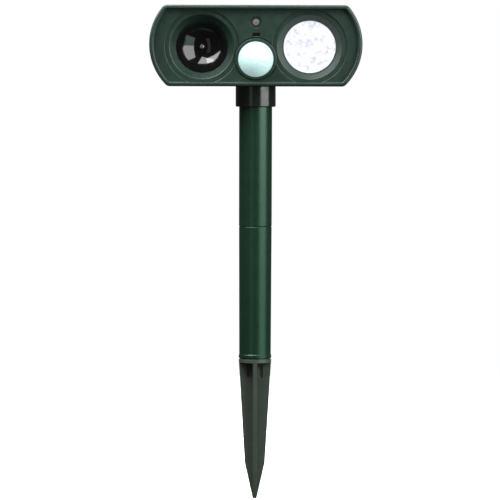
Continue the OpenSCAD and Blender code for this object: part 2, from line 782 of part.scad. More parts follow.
module knob(x) {
    disc(x, knob_z, knob_r, knob_y[0], knob_y[1]);
    block(x - grip_w / 2, x + grip_w / 2, knob_y[1] - 0.5, knob_y[2], knob_z - knob_r + 1.2,
        knob_z + knob_r - 1.2);
    disc(x, knob_z, shaft_r, shaft_y, knob_y[0] + 0.5);
}

module mode_knob() color(black) knob(knob_x);

module sensitivity_knob() color(black) knob(-knob_x);

module mode_switch() color(black) difference() {
    block(knob_x - 7.5, knob_x + 7.5, switch_y, well_floor[0], knob_z - 7.5, knob_z + 7.5);
    disc(knob_x, knob_z, shaft_r + 0.08, switch_y - eps, well_floor[0] + eps);
}

module sensitivity_dial() color(silver) difference() {
    union() {
        disc(-knob_x, knob_z, 8, switch_y, well_floor[0]);
        block(-knob_x - 5, -knob_x + 5, switch_y + 2, switch_y + 3, knob_z - 11, knob_z - 6);
    }
    disc(-knob_x, knob_z, shaft_r + 0.08, switch_y - eps, well_floor[0] + eps);
}

module knob_seals() color(rubber) {
    ring_r = shaft_r + run_gap + oring_r;
    for (side = [-1, 1]) turned(side * knob_x, knob_z)
        translate([ring_r, (well_floor[0] + oring_seat_y) / 2]) circle(r = oring_r, $fn = 24);
}

// ---- USB port with its rubber flap ----

module rounded_slot(w, h) {
    square([w - h, h], center = true);
    for (side = [-1, 1]) translate([side * (w - h) / 2, 0]) circle(d = h);
}

module usb_socket() color(silver) {
    front = 16.5;
    back = 25;
    translate([usb_x, 0, usb_z]) {
        difference() {
            plate(front, back) rounded_slot(usb_shell[0], usb_shell[1]);
            plate(front + 1, back + eps)
                rounded_slot(usb_shell[0] - 2 * usb_metal, usb_shell[1] - 2 * usb_metal);
        }
        plate(front + 0.5, back - 0.6) square([6.7, 0.7], center = true);
    }
}

module usb_board() color(board_green) {
    top = usb_z - usb_shell[1] / 2;
    block(usb_x - 7, usb_x + 7, 8, usb_back_y - 0.2, top - 1.2, top);
}

module usb_flap() color(rubber) {
    w = usb_pocket[0] / 2 - flap_gap;
    low = usb_z - usb_pocket[1] / 2 + 0.4;
    high = usb_z + usb_pocket[1] / 2 - 0.2;
    block(usb_x - w, usb_x + w, flap_y[0], flap_y[1], low, high);
    block(usb_x - 3.9, usb_x + 3.9, flap_y[0] - 0.7, flap_y[0] + 0.5, usb_z - 1.1, usb_z + 1.1);
}

module usb_flap_anchor() color(rubber) {
    low = usb_z + usb_pocket[1] / 2;
    block(usb_x - anchor_size.x / 2, usb_x + anchor_size.x / 2, rear_y - anchor_size.y, rear_y,
        low, low + anchor_size.z);
}

// ---- Leads ----

module speaker_lead() color(lead_red) lead(speaker_route);
module lamp_lead() color(lead_red) lead(lamp_route);
module battery_lead() color(lead_red) lead(battery_route);
module solar_lead() color(lead_red) lead(solar_route);

ground_spike();
lower_tube();
upper_tube();
socket_collar();
collar_seal();
collar_nut();
front_bezel();
rear_shell();
shell_seal();
shell_screws();
speaker_seal();
speaker_horn();
speaker_hub();
piezo_driver();
speaker_back_cap();
speaker_retainer();
lamp_seal();
lamp_lens();
lamp_retainer();
lamp_reflector();
lamp_led();
lamp_board();
sensor_dome();
sensor_shroud();
motion_sensor();
indicator_lens();
indicator_led();
light_window();
light_sensor();
main_board();
board_screws();
board_chips();
drive_coil();
board_capacitors();
board_connectors();
solar_panel();
solar_cells();
solar_cover();
battery_cell();
battery_holder();
battery_spring();
battery_contacts();
battery_door();
door_seal();
door_screws();
mode_knob();
sensitivity_knob();
mode_switch();
sensitivity_dial();
knob_seals();
usb_socket();
usb_board();
usb_flap();
usb_flap_anchor();
speaker_lead();
lamp_lead();
battery_lead();
solar_lead();
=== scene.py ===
"""Looks of a garden ultrasonic pest repeller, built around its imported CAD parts.

Lengths are in millimetres until front(), upright() or MM turns them into metres.
Shapes are outlines and profiles. An outline is a list of (u, v) points that shrinks by an
inset, a profile is a list of (inset or radius, depth) points, and a place puts (u, v, depth)
into the model: u to the right, v up from the middle of the head, depth along Y.
"""

import json
import math

import bmesh
import bpy
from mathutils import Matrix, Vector

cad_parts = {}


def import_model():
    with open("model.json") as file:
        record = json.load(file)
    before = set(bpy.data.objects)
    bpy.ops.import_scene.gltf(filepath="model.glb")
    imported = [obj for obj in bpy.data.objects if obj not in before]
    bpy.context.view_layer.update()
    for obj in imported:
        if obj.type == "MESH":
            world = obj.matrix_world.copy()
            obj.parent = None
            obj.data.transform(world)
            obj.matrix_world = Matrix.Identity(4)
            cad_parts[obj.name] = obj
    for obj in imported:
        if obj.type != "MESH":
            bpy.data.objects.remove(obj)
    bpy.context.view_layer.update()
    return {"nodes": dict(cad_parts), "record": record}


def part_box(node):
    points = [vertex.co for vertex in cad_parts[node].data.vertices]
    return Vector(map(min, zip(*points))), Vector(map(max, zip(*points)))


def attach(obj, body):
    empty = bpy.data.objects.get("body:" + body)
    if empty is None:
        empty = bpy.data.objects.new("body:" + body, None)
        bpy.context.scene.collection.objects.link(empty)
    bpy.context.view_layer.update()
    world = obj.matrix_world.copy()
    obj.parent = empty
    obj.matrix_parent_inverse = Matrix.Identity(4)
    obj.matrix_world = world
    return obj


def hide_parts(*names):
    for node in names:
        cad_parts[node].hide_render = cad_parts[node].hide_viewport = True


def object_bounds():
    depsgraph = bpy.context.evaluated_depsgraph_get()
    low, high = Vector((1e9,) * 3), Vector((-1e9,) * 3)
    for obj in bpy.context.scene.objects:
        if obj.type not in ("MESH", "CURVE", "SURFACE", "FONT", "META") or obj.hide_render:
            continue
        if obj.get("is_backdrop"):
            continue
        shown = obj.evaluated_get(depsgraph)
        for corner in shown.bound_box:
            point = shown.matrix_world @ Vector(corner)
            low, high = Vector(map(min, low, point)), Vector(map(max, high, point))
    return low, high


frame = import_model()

MM = 0.001
SLIT = 0.01  # how far a cutter's mouth stands off the face that it opens
SLOT_OF = {part["node"]: part["material_slot"] for part in frame["record"]["subparts"]}


def box(node):
    """Lowest and highest corner of a CAD node."""
    low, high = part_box(node)
    return low / MM, high / MM


def middle(node):
    """Middle of a CAD node's box."""
    low, high = box(node)
    return (low + high) / 2


# ---- Measures, from the frame where it has them ----

SHELL_LOW, SHELL_HIGH = box("rear_shell")
HEAD_Z = middle("rear_shell").z
HALF_W = SHELL_HIGH.x
HALF_H = (SHELL_HIGH.z - SHELL_LOW.z) / 2
SEAM_Y = SHELL_LOW.y
REAR_Y = SHELL_HIGH.y
RIM_Y = box("front_bezel")[0].y
CUP_Y = box("front_bezel")[1].y
RIM_W = 3
PANEL_Y = RIM_Y + 3.5
STEP_Y = PANEL_Y + 1
PANEL_BACK = PANEL_Y + 2.6
WALL = 2.4
BACK_Y = REAR_Y - WALL

END_R = 45
END_RISE = 1.2
CORNER_R = 5
END_U = HALF_W - END_R

EYE_U = middle("lamp_lens").x
EYE_V = middle("lamp_lens").z - HEAD_Z
EYE_R = 20.2
BORE_Y = -17.5
SEAT_Y = box("speaker_seal")[0].y
HORN_FLOOR_Y = box("speaker_hub")[1].y
DOME_V = middle("sensor_dome").z - HEAD_Z
DOME_R = 13.6
DOT_V = middle("indicator_lens").z - HEAD_Z
WINDOW_V = middle("light_window").z - HEAD_Z

BEZEL_POSTS = [(side * u, v) for side in (-1, 1) for u, v in ((62.5, 24), (61.5, -24), (22, -25))]
BOARD_POSTS = [(side * 12, v) for side in (-1, 1) for v in (8.5, 21.5)]
KNOB_U = middle("mode_knob").x
KNOB_V = middle("mode_knob").z - HEAD_Z
USB_U = middle("usb_flap_anchor").x
USB_V = middle("usb_socket").z - HEAD_Z
DOOR_SCREW_U = 41.5
KEY_V = 18

POLE_FOOT = box("lower_tube")[0].z
POLE_JOINT = box("upper_tube")[0].z
SPIGOT_R = 10.4
NECK_R = SPIGOT_R - 1.8
BORE_R = SPIGOT_R + 0.05
TUBE_LEN = POLE_JOINT - POLE_FOOT
POLE_TOP = POLE_JOINT + TUBE_LEN
SPIGOT_LEN = box("upper_tube")[1].z - POLE_TOP
COLLAR_Z = box("socket_collar")[0].z
HEAD_BOTTOM = SHELL_LOW.z


# ---- Outlines: functions of an inset ----


def arc(u, v, radius, start, end, steps):
    """Points of an arc, both ends included."""
    angles = [start + (end - start) * i / steps for i in range(steps + 1)]
    return [(u + radius * math.cos(a), v + radius * math.sin(a)) for a in angles]


def head_outline(inset):
    """Round ends that blend into a flat top and bottom."""
    reach = END_R - CORNER_R
    corners = []
    for v in (CORNER_R - HALF_H, HALF_H - CORNER_R):
        u = END_U + math.sqrt(reach**2 - (v - END_RISE) ** 2)
        corners.append((u, v, math.atan2(v - END_RISE, u - END_U)))
    (low_u, low_v, low), (high_u, high_v, high) = corners
    right = arc(low_u, low_v, CORNER_R - inset, -math.pi / 2, low, 8)
    right += arc(END_U, END_RISE, END_R - inset, low, high, 48)[1:-1]
    right += arc(high_u, high_v, CORNER_R - inset, high, math.pi / 2, 8)
    return right + [(-u, v) for u, v in reversed(right)]


def circle(radius, segments=64):
    return lambda inset: arc(0, 0, radius - inset, 0, 2 * math.pi, segments)[:-1]


def slab(width, height, radius):
    """A rectangle with round corners."""

    def outline(inset):
        least = 0.02
        corner = max(radius - inset, least)
        u, v = width / 2 - inset - corner, height / 2 - inset - corner
        turn = math.pi / 2
        centres = ((u, -v), (u, v), (-u, v), (-u, -v))
        return [p for i, c in enumerate(centres) for p in arc(*c, corner, (i - 1) * turn, i * turn, 6)]

    return outline


def fluted(radius, flutes, depth, steps=8):
    """A circle with rounded flutes, as on a knob's edge."""

    def outline(inset):
        count = flutes * steps
        angles = [2 * math.pi * i / count for i in range(count)]
        radii = [radius - inset - depth * math.sin(flutes * a / 2) ** 4 for a in angles]
        return [(r * math.cos(a), r * math.sin(a)) for r, a in zip(radii, angles)]

    return outline


def rounded(points, steps=5):
    """A profile with its corners rounded: a corner is (x, depth) or (x, depth, radius)."""
    out = []
    for i, point in enumerate(points):
        here = Vector(point[:2])
        if len(point) == 2 or point[2] == 0:
            out.append(here)
            continue
        back = (Vector(points[i - 1][:2]) - here).normalized()
        ahead = (Vector(points[i + 1][:2]) - here).normalized()
        half = back.angle(ahead) / 2
        centre = here + (back + ahead).normalized() * point[2] / math.sin(half)
        start = here + back * point[2] / math.tan(half) - centre
        end = here + ahead * point[2] / math.tan(half) - centre
        sweep = start.angle(end)
        for k in range(steps + 1):
            part = sweep * k / steps
            out.append(centre + (start * math.sin(sweep - part) + end * math.sin(part)) / math.sin(sweep))
    return out


# ---- Places ----


def front(u=0, v=0):
    """Faces the front: depth runs along Y."""
    return lambda a, b, depth: Vector((u + a, depth, HEAD_Z + v + b)) * MM


def upright(x=0, y=0):
    """Stands upright: depth is a height, Z."""
    return lambda a, b, depth: Vector((x + a, y + b, depth)) * MM


# ---- Solids ----


def piece(name, mesh):
    """An object from a mesh, with its faces turned outwards."""
    bmesh.ops.recalc_face_normals(mesh, faces=mesh.faces)
    data = bpy.data.meshes.new(name)
    mesh.to_mesh(data)
    mesh.free()
    made = bpy.data.objects.new(name, data)
    bpy.context.scene.collection.objects.link(made)
    return made


def skin(mesh, one, two):
    """Faces between two rings; a ring of one vertex is a tip."""
    count = max(len(one), len(two))
    for i in range(count):
        corners = [one[i % len(one)], one[(i + 1) % len(one)], two[(i + 1) % len(two)], two[i % len(two)]]
        mesh.faces.new(list(dict.fromkeys(corners)))


def loft(name, outline, profile, place):
    """A closed solid: the outline at each (inset, depth), with a flat cap at each end."""
    mesh = bmesh.new()
    rings = [[mesh.verts.new(place(u, v, depth)) for u, v in outline(inset)] for inset, depth in profile]
    for one, two in zip(rings, rings[1:]):
        skin(mesh, one, two)
    mesh.faces.new(rings[0])
    mesh.faces.new(rings[-1])
    return piece(name, mesh)


def lathe(name, profile, place, segments=96, relief=None):
    """A profile of (radius, depth) turned about its axis; off the axis it closes on itself."""
    mesh = bmesh.new()
    rings = []
    for radius, depth in profile:
        count = segments if radius > 0 else 1
        ring = []
        for i in range(count):
            angle = 2 * math.pi * i / segments
            shift = relief(radius, angle, depth) if relief else 0
            u, v = radius * math.cos(angle), radius * math.sin(angle)
            ring.append(mesh.verts.new(place(u, v, depth + shift)))
        rings.append(ring)
    for one, two in zip(rings, rings[1:]):
        skin(mesh, one, two)
    if len(rings[0]) > 1:
        skin(mesh, rings[-1], rings[0])
    return piece(name, mesh)


def block(low, high, edge=0.3):
    """A box between two corners, (u, depth, v) each, with small rounded edges."""
    size = [b - a for a, b in zip(low, high)]
    place = front((low[0] + high[0]) / 2, (low[2] + high[2]) / 2)
    return boss(slab(size[0], size[2], edge), low[1], high[1], place, edge)


def boss(outline, base, top, place, edge=0.3):
    """A raised shape with a rounded top edge."""
    return loft("boss", outline, rounded([(0, base), (0, top, edge), (2 * edge, top)]), place)


def pocket(outline, floor, mouth, place, lip=0.3, foot=0.2):
    """A cutter for a pocket with a rounded mouth and a rounded foot."""
    out = math.copysign(1, mouth - floor)
    top = mouth + out * SLIT
    profile = [(2 * foot, floor), (0, floor, foot), (0, top, lip), (-2 * lip, top), (-2 * lip, top + out)]
    return loft("pocket", outline, rounded(profile), place)


def hole(radius, start, end, place):
    """A cutter for a plain round hole."""
    return loft("hole", circle(radius, 40), [(0, start), (0, end)], place)


def bake(made):
    """Applies an object's modifiers to its mesh."""
    graph = bpy.context.evaluated_depsgraph_get()
    data = bpy.data.meshes.new_from_object(made.evaluated_get(graph), depsgraph=graph)
    made.modifiers.clear()
    plain = made.data
    made.data = data
    bpy.data.meshes.remove(plain)


def combine(target, tools, operation):
    """Adds tools to a solid, or cuts them out of it, and deletes them."""
    group = bpy.data.collections.new("tools")
    for tool in tools:
        group.objects.link(tool)
    modifier = target.modifiers.new("tools", "BOOLEAN")
    modifier.operation = operation
    modifier.solver = "MANIFOLD"
    modifier.operand_type = "COLLECTION"
    modifier.collection = group
    bake(target)
    for tool in tools:
        bpy.data.objects.remove(tool)
    bpy.data.collections.remove(group)


def shade(made, angle=32):
    """Smooth faces with crisp edges, and flat faces kept flat beside rounded edges."""
    made.data.shade_smooth()
    made.data.set_sharp_from_angle(angle=math.radians(angle))
    modifier = made.modifiers.new("normals", "WEIGHTED_NORMAL")
    modifier.keep_sharp = True


def add(made, nodes, body="head", material=None, slot=None):
    """Finishes a piece: it stands for CAD nodes, or brings its own slot, and rides on a body."""
    shade(made)
    slot = slot or SLOT_OF[nodes[0]]
    made.data.materials.clear()
    made.data.materials.append(material or MATERIALS[slot])
    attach(made, body)
    if nodes:
        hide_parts(*nodes)
    return made


# ---- Materials ----


def add_node(tree, kind, inputs=None, **settings):
    """A shader node with its settings; each input takes a value, or a link from a socket."""
    made = tree.nodes.new(kind)
    for key, value in settings.items():
        setattr(made, key, value)
    for key, value in (inputs or {}).items():
        if isinstance(value, bpy.types.NodeSocket):
            tree.links.new(value, made.inputs[key])
        else:
            made.inputs[key].default_value = value
    return made


class Finish:
    """A material under construction: a Principled shader fed by patterns in object space."""

    def __init__(self, name, **sockets):
        self.material = bpy.data.materials.new(name)
        self.material.use_nodes = True
        self.tree = self.material.node_tree
        self.shader = self.tree.nodes["Principled BSDF"]
        self.point = add_node(self.tree, "ShaderNodeTexCoord").outputs["Object"]
        for key, value in sockets.items():
            self.shader.inputs[key.replace("_", " ").title().replace("Ior", "IOR")].default_value = value

    def stretched(self, x, y, z):
        """Coordinates whose patterns are stretched by these factors."""
        scale = Vector((1 / x, 1 / y, 1 / z))
        return add_node(self.tree, "ShaderNodeMapping", {"Vector": self.point, "Scale": scale}).outputs[0]

    def noise(self, size, detail=3, point=None):
        """Cloudy noise whose patches are about this many millimetres across."""
        inputs = {"Vector": point or self.point, "Scale": 1 / (size * MM), "Detail": detail}
        return add_node(self.tree, "ShaderNodeTexNoise", inputs).outputs["Fac"]

    def cells(self, size, output="Distance"):
        """Irregular cells, so many millimetres in size: distance from each one's point, or its colour."""
        inputs = {"Vector": self.point, "Scale": 1 / (size * MM)}
        return add_node(self.tree, "ShaderNodeTexVoronoi", inputs).outputs[output]

    def bands(self, size, axis):
        """Even bands across an axis, one each so many millimetres."""
        wave_per_unit = 20 / (2 * math.pi)
        inputs = {"Vector": self.point, "Scale": 1 / (size * MM * wave_per_unit)}
        return add_node(self.tree, "ShaderNodeTexWave", inputs, bands_direction=axis).outputs["Fac"]

    def ramp(self, factor, *stops):
        """A factor turned into colours: each stop is (position, colour)."""
        made = add_node(self.tree, "ShaderNodeValToRGB", {"Fac": factor})
        elements = made.color_ramp.elements
        while len(elements) < len(stops):
            elements.new(0.5)
        for element, (position, colour) in zip(elements, stops):
            element.position = position
            element.color = (*colour, 1)
        return made.outputs["Color"]

    def span(self, factor, low, high, start=0.3, end=0.7):
        """A factor's range from start to end mapped to low to high."""
        inputs = {"Value": factor, "From Min": start, "From Max": end, "To Min": low, "To Max": high}
        return add_node(self.tree, "ShaderNodeMapRange", inputs).outputs["Result"]

    def mix(self, factor, one, two):
        """One colour or pattern blended into another."""
        made = add_node(self.tree, "ShaderNodeMix", data_type="RGBA")
        for index, value in ((0, factor), (6, one), (7, two)):
            if isinstance(value, bpy.types.NodeSocket):
                self.tree.links.new(value, made.inputs[index])
            else:
                made.inputs[index].default_value = value if index == 0 else (*value, 1)
        return made.outputs[2]

    def feed(self, socket, value):
        """Links a pattern to one of the shader's inputs."""
        self.tree.links.new(value, self.shader.inputs[socket])

    def relief(self, height, depth):
        """Bumps the surface by a pattern, this many millimetres deep; a second call adds to it."""
        inputs = {"Height": height, "Distance": depth * MM}
        before = self.shader.inputs["Normal"]
        if before.is_linked:
            inputs["Normal"] = before.links[0].from_socket
        made = add_node(self.tree, "ShaderNodeBump", inputs)
        self.feed("Normal", made.outputs["Normal"])


def moulded(name, dark, light, rough, grain=0.35, depth=0.02, **sockets):
    """Moulded plastic: the colour drifts slowly, the gloss is uneven and the tool left a grain."""
    finish = Finish(name, **sockets)
    drift = finish.mix(0.5, finish.noise(16, 4), finish.noise(1.3, 2))
    finish.feed("Base Color", finish.ramp(drift, (0.35, dark), (0.65, light)))
    finish.feed("Roughness", finish.span(finish.noise(5, 5), rough[0], rough[1]))
    finish.relief(finish.noise(grain, 2), depth)
    return finish


def pole_green():
    """Satin extrusion with faint draw lines along its length."""
    dark, light = (0.005, 0.021, 0.011), (0.007, 0.026, 0.014)
    finish = moulded("pole_green", dark, light, (0.27, 0.33), 0.6, 0.002, ior=1.5)
    finish.shader.inputs["Specular Tint"].default_value = (0.62, 1, 0.78, 1)
    lines = finish.noise(1.2, 2, finish.stretched(1, 1, 60))
    finish.relief(lines, 0.004)
    return finish.material


def spike_green():
    """Greyer and duller than the pole, with a coarser grain."""
    dark, light = (0.035, 0.049, 0.037), (0.048, 0.064, 0.049)
    return moulded("spike_green", dark, light, (0.42, 0.56), 0.5, 0.02, ior=1.5).material


def shell_green():
    dark, light = (0.007, 0.021, 0.014), (0.010, 0.028, 0.019)
    return moulded("shell_green", dark, light, (0.34, 0.46), 0.3, 0.022, ior=1.5).material


def collar_green():
    dark, light = (0.009, 0.014, 0.010), (0.012, 0.018, 0.013)
    return moulded("collar_green", dark, light, (0.14, 0.22), 0.6, 0.005, ior=1.5).material


def horn_black():
    dark, light = (0.003, 0.003, 0.0035), (0.006, 0.0055, 0.006)
    return moulded("horn_black", dark, light, (0.04, 0.09), 1.5, 0.004, ior=1.5).material


def black_plastic():
    dark, light = (0.010, 0.010, 0.011), (0.020, 0.020, 0.021)
    return moulded("black_plastic", dark, light, (0.42, 0.58), 0.25, 0.03).material


def rubber():
    """Soft silicone: dull, faintly dusty, with a fine matt grain."""
    dark, light = (0.012, 0.012, 0.012), (0.026, 0.026, 0.025)
    return moulded("rubber", dark, light, (0.62, 0.8), 0.18, 0.03, sheen_weight=0.15).material


def white_plastic():
    dark, light = (0.62, 0.61, 0.57), (0.76, 0.75, 0.71)
    return moulded("white_plastic", dark, light, (0.36, 0.5), 0.3, 0.015).material


def milky_lens():
    """Translucent polyethylene: it scatters light under its surface, and its emission is a painted glow
    that lifts it towards white, though the dome holds no lamp.
    """
    dark, light = (0.36, 0.50, 0.49), (0.43, 0.57, 0.56)
    finish = moulded("milky_lens", dark, light, (0.2, 0.32), 0.8, 0.01, subsurface_weight=0.35)
    finish.shader.inputs["Subsurface Radius"].default_value = (0.003, 0.003, 0.003)
    # painted glow: the sensor dome has no light inside, and this emission only brightens it
    finish.shader.inputs["Emission Color"].default_value = (0.42, 0.62, 0.60, 1)
    finish.shader.inputs["Emission Strength"].default_value = 0.6
    return finish.material


def clear_lens():
    """Clear acrylic with faint flow marks and a few specks of dust."""
    finish = Finish("clear_lens", transmission_weight=1.0, ior=1.49)
    tint = finish.ramp(finish.noise(12, 2), (0.3, (0.93, 0.96, 0.98)), (0.7, (0.98, 0.99, 1)))
    finish.feed("Base Color", tint)
    specks = finish.noise(0.6, 2)
    finish.feed("Roughness", finish.span(specks, 0.02, 0.16, 0.62, 0.8))
    finish.relief(finish.noise(9, 2), 0.05)
    return finish.material


def frosted_lens():
    """Diffusing acrylic over an indicator light that is off: a dull pinkish grey."""
    dark, light = (0.11, 0.095, 0.095), (0.17, 0.15, 0.15)
    return moulded("frosted_lens", dark, light, (0.2, 0.34), 0.5, 0.01, ior=1.49).material


def lamp_lens():
    """Faceted clear acrylic that glows with the cool white light behind it."""
    finish = Finish("lamp_lens", ior=1.49)
    tint = finish.ramp(finish.noise(3, 2), (0.3, (0.14, 0.15, 0.17)), (0.7, (0.2, 0.21, 0.24)))
    finish.feed("Base Color", tint)
    sparkle = finish.noise(3.6, 3)
    cool, grey, pale = (0.50, 0.50, 0.58), (0.70, 0.71, 0.77), (0.83, 0.84, 0.88)
    finish.feed("Emission Color", finish.ramp(sparkle, (0.34, cool), (0.45, grey), (0.56, pale)))
    finish.shader.inputs["Emission Strength"].default_value = 1.0
    finish.feed("Roughness", finish.span(finish.noise(2.5), 0.05, 0.14))
    return finish.material


def metal(name, dark, light, rough, grain=(1, 1, 1), size=0.6, depth=0.004):
    """Bare metal with a directional grain."""
    finish = Finish(name, metallic=1.0)
    streaks = finish.noise(size, 4, finish.stretched(*grain))
    finish.feed("Base Color", finish.ramp(finish.noise(4, 4), (0.3, dark), (0.7, light)))
    finish.feed("Roughness", finish.span(streaks, rough[0], rough[1]))
    finish.relief(streaks, depth)
    return finish


def chrome():
    return metal("chrome", (0.74, 0.75, 0.78), (0.84, 0.85, 0.87), (0.03, 0.1)).material


def steel():
    return metal("steel", (0.42, 0.43, 0.45), (0.6, 0.6, 0.62), (0.24, 0.42), (6, 1, 1)).material


def copper():
    """Enamelled wire, wound in fine even turns."""
    finish = metal("copper", (0.42, 0.19, 0.08), (0.62, 0.31, 0.15), (0.2, 0.34))
    finish.relief(finish.bands(0.35, "Y"), 0.1)
    return finish.material


def circuit_board():
    """Green solder mask over a pattern of tracks, with tinned pads."""
    finish = Finish("circuit_board", coat_weight=0.4, coat_roughness=0.2)
    size = {"Vector": finish.point, "Scale": 1 / (9 * MM), "Mortar Size": 0.09, "Brick Width": 0.42}
    tracks = add_node(finish.tree, "ShaderNodeTexBrick", size).outputs["Fac"]
    mask, track, tin = (0.010, 0.085, 0.032), (0.022, 0.16, 0.062), (0.5, 0.5, 0.48)
    pads = finish.ramp(finish.cells(3.1), (0.16, (1, 1, 1)), (0.18, (0, 0, 0)))
    finish.feed("Base Color", finish.mix(pads, finish.mix(tracks, mask, track), tin))
    finish.feed("Roughness", finish.span(finish.noise(1.5, 4), 0.28, 0.5))
    finish.relief(tracks, 0.03)
    return finish.material


def solar_cell():
    """Blue polycrystalline silicon with silver fingers and two busbars."""
    finish = Finish("solar_cell", ior=1.6)
    crystals = finish.ramp(
        finish.cells(3.5, output="Color"),
        (0.2, (0.004, 0.008, 0.030)), (0.5, (0.008, 0.016, 0.060)), (0.8, (0.014, 0.026, 0.085)))
    silver = (0.42, 0.44, 0.47)
    fingers = finish.ramp(finish.bands(1.5, "X"), (0.93, (0, 0, 0)), (0.98, (1, 1, 1)))
    busbars = finish.ramp(finish.bands(13, "Y"), (0.985, (0, 0, 0)), (0.992, (1, 1, 1)))
    finish.feed("Base Color", finish.mix(busbars, finish.mix(fingers, crystals, silver), silver))
    finish.feed("Roughness", finish.span(finish.cells(3.5, output="Color"), 0.16, 0.34))
    finish.relief(busbars, 0.02)
    return finish.material


def cell_wrap():
    """Shrink film, drawn tight with small wrinkles."""
    dark, light = (0.020, 0.075, 0.24), (0.032, 0.11, 0.32)
    finish = moulded("cell_wrap", dark, light, (0.16, 0.3), 2.0, 0.01)
    finish.relief(finish.noise(1.2, 3, finish.stretched(8, 1, 1)), 0.04)
    return finish.material


def lead_jacket():
    dark, light = (0.26, 0.016, 0.012), (0.38, 0.026, 0.018)
    return moulded("lead_jacket", dark, light, (0.34, 0.5), 0.5, 0.01).material


def led_package():
    """Yellow phosphor under clear silicone."""
    dark, light = (0.74, 0.60, 0.16), (0.9, 0.78, 0.28)
    return moulded("led_package", dark, light, (0.12, 0.22), 0.7, 0.01, coat_weight=1.0).material


MATERIALS = {
    make.__name__: make()
    for make in (
        pole_green, spike_green, shell_green, collar_green, horn_black, black_plastic, rubber,
        white_plastic, milky_lens, clear_lens, lamp_lens, chrome, steel, copper, circuit_board,
        solar_cell, cell_wrap, lead_jacket, led_package)
}


# ---- Camera, light and floor ----


def aim(made, target, roll=0):
    """Turns a camera or a light towards a point, and by a roll in degrees about its own axis."""
    made.rotation_euler = (Vector(target) - made.location).to_track_quat("-Z", "Y").to_euler()
    made.rotation_euler.rotate_axis("Z", math.radians(roll))


def camera():
    """A long lens far away, a little above the middle, with a slight roll."""
    side, distance, height, target_z = -0.0041, 4.0, 0.244, 0.0849
    made = bpy.data.objects.new("camera", bpy.data.cameras.new("camera"))
    made.location = (side, -distance, height)
    aim(made, (side, 0, target_z), roll=0.15)
    made.data.lens = 369.9
    made.data.sensor_width = 36
    bpy.context.scene.collection.objects.link(made)
    bpy.context.scene.camera = made


def softbox(name, azimuth, height, distance, size, power, target_z, colour=(1, 1, 1), roll=0):
    """A rectangular light; azimuth 0 is in front and 90 to the right, height in metres."""
    light = bpy.data.lights.new(name, "AREA")
    light.shape = "RECTANGLE"
    light.size, light.size_y = size
    light.energy = power
    light.color = colour
    made = bpy.data.objects.new(name, light)
    turn = math.radians(azimuth)
    made.location = (distance * math.sin(turn), -distance * math.cos(turn), height)
    aim(made, (0, 0, target_z), roll)
    bpy.context.scene.collection.objects.link(made)


def lights():
    """Softboxes around the object: two on the right, three on the left and two behind.

    On the right a dim one is below the wide one. On the left two are high up, above a faint strip.
    """
    softbox("key", 54, 0.69, 1.0, (0.90, 1.04), 19, 0.69)
    softbox("low", 54, -0.17, 1.0, (0.90, 0.66), 3.4, -0.17, (0.70, 1, 0.85))
    softbox("left", -27, 0.1, 1.3, (0.35, 1.3), 0.7, 0.1)
    softbox("sky", -30, 1.25, 0.52, (0.9, 0.8), 18, 0.24)
    softbox("crescent", -62, 0.86, 0.80, (0.4, 1.0), 12, 0.24, roll=-40)
    softbox("back_left", -150, 1.5, 0.9, (0.8, 0.6), 17, 0.15)
    softbox("back_right", 145, 1.5, 0.9, (0.8, 0.6), 17, 0.15)


def world():
    """White where the camera looks past the object, and a dim grey room around it."""
    made = bpy.data.worlds.new("world")
    bpy.context.scene.world = made
    made.use_nodes = True
    tree = made.node_tree
    room = tree.nodes["Background"]
    grey = 0.07
    room.inputs["Color"].default_value = (grey, grey, grey, 1)
    white = add_node(tree, "ShaderNodeBackground", {"Color": (1, 1, 1, 1)})
    seen = add_node(tree, "ShaderNodeLightPath").outputs["Is Camera Ray"]
    mixed = add_node(tree, "ShaderNodeMixShader", {0: seen, 1: room.outputs[0], 2: white.outputs[0]})
    tree.links.new(mixed.outputs[0], tree.nodes["World Output"].inputs["Surface"])


def floor():
    """A round white floor just under the spike's tip, hidden from reflections and bounced light."""
    made = lathe("floor", [(0, -1), (1500, -1), (1500, 0), (0, 0)], upright())
    made.location.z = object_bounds()[0].z - MM
    finish = Finish("floor_white", roughness=0.9)
    tint = finish.ramp(finish.noise(60), (0.3, (0.86, 0.86, 0.86)), (0.7, (0.9, 0.9, 0.9)))
    finish.feed("Base Color", tint)
    finish.shader.inputs["Emission Color"].default_value = (1, 1, 1, 1)
    finish.shader.inputs["Emission Strength"].default_value = 0.9
    made.data.materials.append(finish.material)
    made.visible_glossy = False
    made.visible_diffuse = False
    made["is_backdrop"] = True


# ---- Front bezel ----


def eye_cup(u):
    """The seat behind an opening: a funnel wall, a ledge and a ring that holds the retainer."""
    outer_r, bore_r, ledge_r, inner_r = 26.4, 24.7, 22.4, 18
    front_y, shoulder_y = -23, -19.24
    profile = [
        (inner_r, front_y), (outer_r, front_y), (outer_r, CUP_Y), (bore_r, CUP_Y),
        (bore_r, shoulder_y), (ledge_r, SEAT_Y), (inner_r, SEAT_Y)]
    return lathe("cup", profile, front(u, EYE_V))


def funnel(u):
    """A cutter for the cone that leads into an opening."""
    mouth_r, clear_r = 25, 26.2
    start, mouth, end = RIM_Y - 2, STEP_Y - SLIT, CUP_Y + 1
    profile = [
        (0, start), (clear_r, start), (clear_r, mouth), (mouth_r, mouth, 1.0),
        (EYE_R, BORE_Y, 0.8), (EYE_R, end), (0, end)]
    return lathe("funnel", rounded(profile), front(u, EYE_V))


def step(u):
    """A cutter for the round step about an opening; it stays inside the rim."""
    step_r, clear_r = 29, 29.4
    start, mouth = RIM_Y - 2, PANEL_Y - SLIT
    profile = [
        (0, start), (clear_r, start), (clear_r, mouth), (step_r, mouth, 0.3),
        (step_r, STEP_Y, 0.25), (0, STEP_Y)]
    cutter = lathe("step", rounded(profile), front(u, EYE_V), 160)
    limit = RIM_W + 0.05
    inside = loft("inside", head_outline, [(limit, RIM_Y - 3), (limit, CUP_Y)], front())
    combine(cutter, [inside], "INTERSECT")
    return cutter


